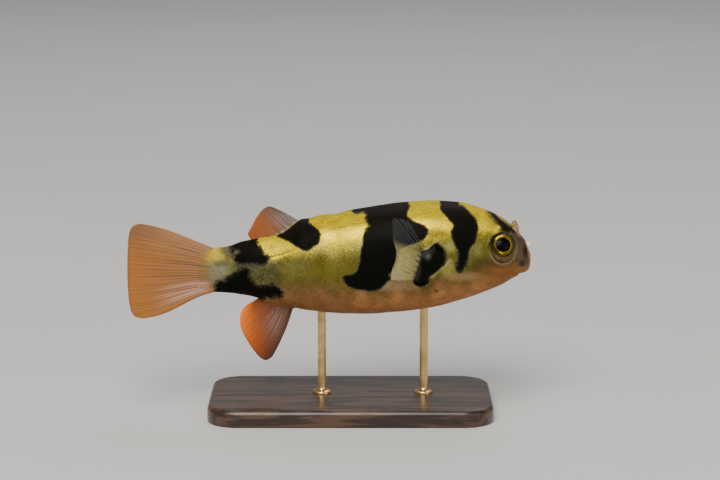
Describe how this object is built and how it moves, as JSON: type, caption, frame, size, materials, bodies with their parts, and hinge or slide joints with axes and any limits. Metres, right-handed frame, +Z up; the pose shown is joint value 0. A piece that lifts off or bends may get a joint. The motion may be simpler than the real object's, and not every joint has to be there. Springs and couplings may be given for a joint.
{
  "type": "freshwater pufferfish model on a stand",
  "caption": "Freshwater pufferfish with a blunt beaked snout, plump banded body and fan-shaped tail, level as if swimming, held above a flat display base on slim rods.",
  "frame": {"origin": "middle of the whole part's bounding box in plan, at the level of the base's underside", "axes": "+X the way the fish swims (its head), +Y the fish's left side, +Z up"},
  "size_m": [0.0766, 0.03, 0.0404],
  "materials": {
    "skin": "satin, moist look",
    "fin": "satin",
    "eye": "high gloss",
    "teeth": "satin",
    "dark_walnut": "oiled",
    "brass": "polished"
  },
  "bodies": {
    "root": {"head": "skin", "trunk": "skin", "tail_stalk": "skin", "nostril_left": "skin", "nostril_right": "skin", "eye_left": "eye", "eye_right": "eye", "beak": "teeth", "tail_fin": "fin", "dorsal_fin": "fin", "anal_fin": "fin", "pectoral_fin_left": "fin", "pectoral_fin_right": "fin", "stand_base": "dark_walnut", "stand_rod_front": "brass", "stand_rod_rear": "brass"}
  },
  "joints": []
}
